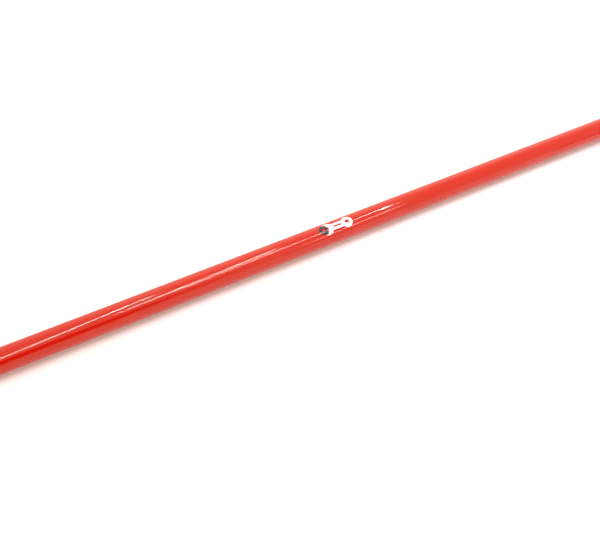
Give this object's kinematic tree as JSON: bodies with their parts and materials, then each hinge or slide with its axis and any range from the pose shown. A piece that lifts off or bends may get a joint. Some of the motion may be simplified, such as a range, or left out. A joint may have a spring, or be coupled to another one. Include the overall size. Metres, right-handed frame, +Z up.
{
  "type": "sway bar",
  "caption": "Bent tubular sway bar with welded drilled arm ends, clamped lock collars and split bushings in bolted strap brackets that swivel on the bar.",
  "frame": {"origin": "on the resting plane under the middle of the whole kit; the centre run and the arm tips touch Z = 0", "axes": "+X along the bar, +Y from the arm tips towards the bar, +Z up towards the chassis; left is -X"},
  "size_m": [1.16, 0.3514, 0.072],
  "materials": {
    "red_powder_coat": "gloss powder coat",
    "black_bracket": "satin black coat",
    "polyurethane": "smooth moulded polyurethane",
    "zinc_plate": "bright zinc plate",
    "anodised_collar": "clear anodised, turned",
    "black_screw": "black oxide",
    "decal_dark": "gloss film",
    "decal_light": "gloss film"
  },
  "bodies": {
    "bar": {"bar_tube": "red_powder_coat", "decal_nut": "decal_dark", "decal_spanner": "decal_light", "left_end_plate": "red_powder_coat", "left_end_weld": "red_powder_coat", "left_collar_upper_half": "anodised_collar", "left_collar_lower_half": "anodised_collar", "left_collar_screws": "black_screw", "right_end_plate": "red_powder_coat", "right_end_weld": "red_powder_coat", "right_collar_upper_half": "anodised_collar", "right_collar_lower_half": "anodised_collar", "right_collar_screws": "black_screw"},
    "left_mount": {"left_bushing": "polyurethane", "left_bracket": "black_bracket", "left_grease_fitting": "zinc_plate", "left_mount_bolts": "zinc_plate", "left_mount_washers": "zinc_plate"},
    "right_mount": {"right_bushing": "polyurethane", "right_bracket": "black_bracket", "right_grease_fitting": "zinc_plate", "right_mount_bolts": "zinc_plate", "right_mount_washers": "zinc_plate"}
  },
  "joints": [
    {"name": "left_mount_swivel", "type": "hinge", "parent": "bar", "child": "left_mount", "pos_m": [-0.5, 0.12275, 0.032], "axis": [1, 0, 0], "range_deg": [-25, 25]},
    {"name": "right_mount_swivel", "type": "hinge", "parent": "bar", "child": "right_mount", "pos_m": [0.5, 0.12275, 0.032], "axis": [1, 0, 0], "range_deg": [-25, 25]}
  ]
}
